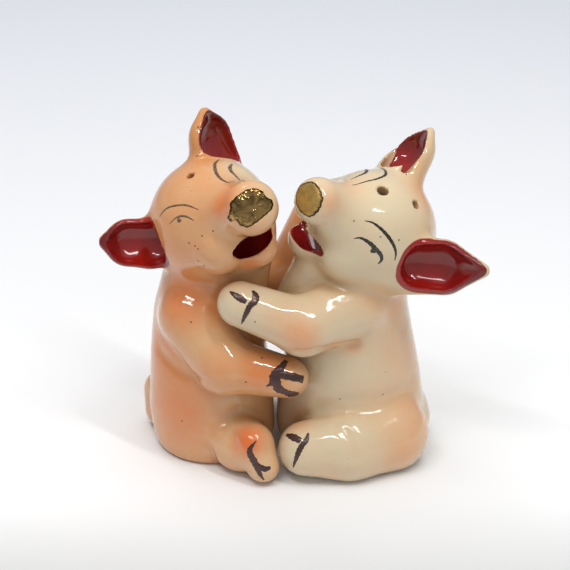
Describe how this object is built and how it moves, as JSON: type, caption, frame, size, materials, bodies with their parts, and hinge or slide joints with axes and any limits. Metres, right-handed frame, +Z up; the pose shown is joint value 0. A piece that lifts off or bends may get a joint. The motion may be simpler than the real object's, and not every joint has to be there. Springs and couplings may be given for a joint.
{
  "type": "salt and pepper shakers",
  "caption": "Two hollow glazed ceramic pigs that sit face to face with interlocked arms, with pour holes in the crowns and a cork in each base.",
  "frame": {"origin": "centre of the pair's bounding box on the plane of its base", "axes": "+Z up, +X from the salt pig to the pepper pig (the pair's length), -Y the front from which both faces are seen"},
  "size_m": [0.08, 0.0416, 0.0743],
  "materials": {
    "salt_glaze": "glossy glaze, airbrushed peach over cream",
    "pepper_glaze": "glossy glaze, airbrushed peach over cream",
    "gilding": "gold lustre over glaze",
    "cork": "natural cork, matt"
  },
  "bodies": {
    "salt_pig": {"salt_torso_shell": "salt_glaze", "salt_head_shell": "salt_glaze", "salt_snout": "gilding", "salt_near_ear": "salt_glaze", "salt_far_ear": "salt_glaze", "salt_near_arm": "salt_glaze", "salt_far_arm": "salt_glaze", "salt_near_leg": "salt_glaze", "salt_far_leg": "salt_glaze", "salt_tail": "salt_glaze"},
    "pepper_pig": {"pepper_torso_shell": "pepper_glaze", "pepper_head_shell": "pepper_glaze", "pepper_snout": "gilding", "pepper_near_ear": "pepper_glaze", "pepper_far_ear": "pepper_glaze", "pepper_near_arm": "pepper_glaze", "pepper_far_arm": "pepper_glaze", "pepper_near_leg": "pepper_glaze", "pepper_far_leg": "pepper_glaze", "pepper_tail": "pepper_glaze"},
    "salt_cork": {"salt_stopper": "cork"},
    "pepper_cork": {"pepper_stopper": "cork"}
  },
  "joints": [
    {"name": "pull_apart", "type": "slide", "parent": "salt_pig", "child": "pepper_pig", "axis": [1, 0, 0], "range_m": [0, 0.06]},
    {"name": "salt_cork_pull", "type": "slide", "parent": "salt_pig", "child": "salt_cork", "axis": [0, 0, -1], "range_m": [0, 0.014]},
    {"name": "pepper_cork_pull", "type": "slide", "parent": "pepper_pig", "child": "pepper_cork", "axis": [0, 0, -1], "range_m": [0, 0.014]}
  ]
}
